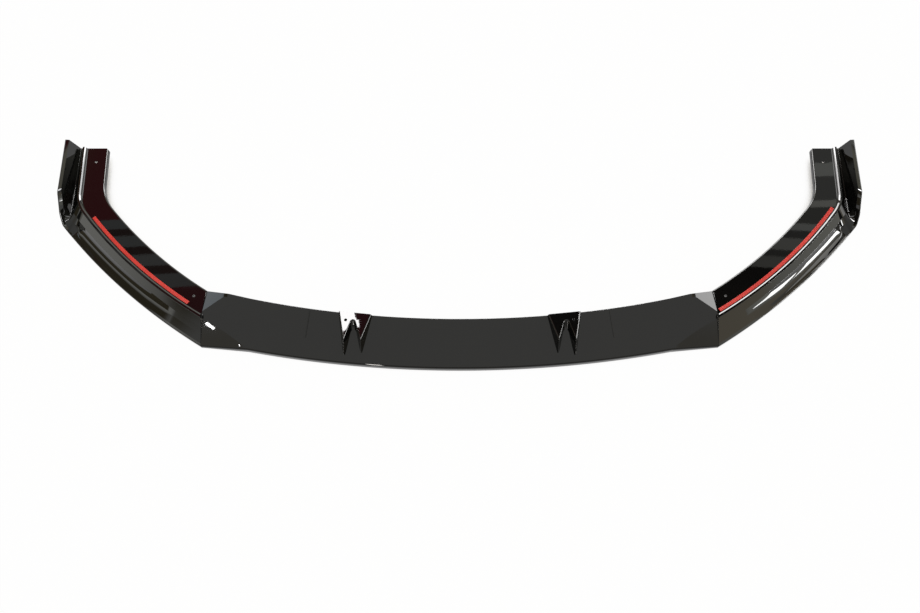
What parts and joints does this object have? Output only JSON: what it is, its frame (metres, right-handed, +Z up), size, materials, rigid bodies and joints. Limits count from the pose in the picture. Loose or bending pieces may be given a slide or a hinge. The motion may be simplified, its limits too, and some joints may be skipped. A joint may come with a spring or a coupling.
{
  "type": "front splitter lip",
  "caption": "Gloss black front splitter lip for a car bumper: curved centre panel with forked bosses, swept wings with scooped blades and upright rear fins, taped flanges.",
  "frame": {"origin": "centre of the lip's footprint, on the surface that it rests on", "axes": "+X to the right across the car, +Y from the front edge to the rear, +Z up"},
  "size_m": [1.7904, 0.529, 0.0608],
  "materials": {
    "gloss_black": "polished moulded black",
    "red_liner": "red release liner on foam tape"
  },
  "bodies": {
    "root": {"centre_panel": "gloss_black", "right_wing": "gloss_black", "left_wing": "gloss_black", "right_adhesive_tape": "red_liner", "left_adhesive_tape": "red_liner"}
  },
  "joints": []
}
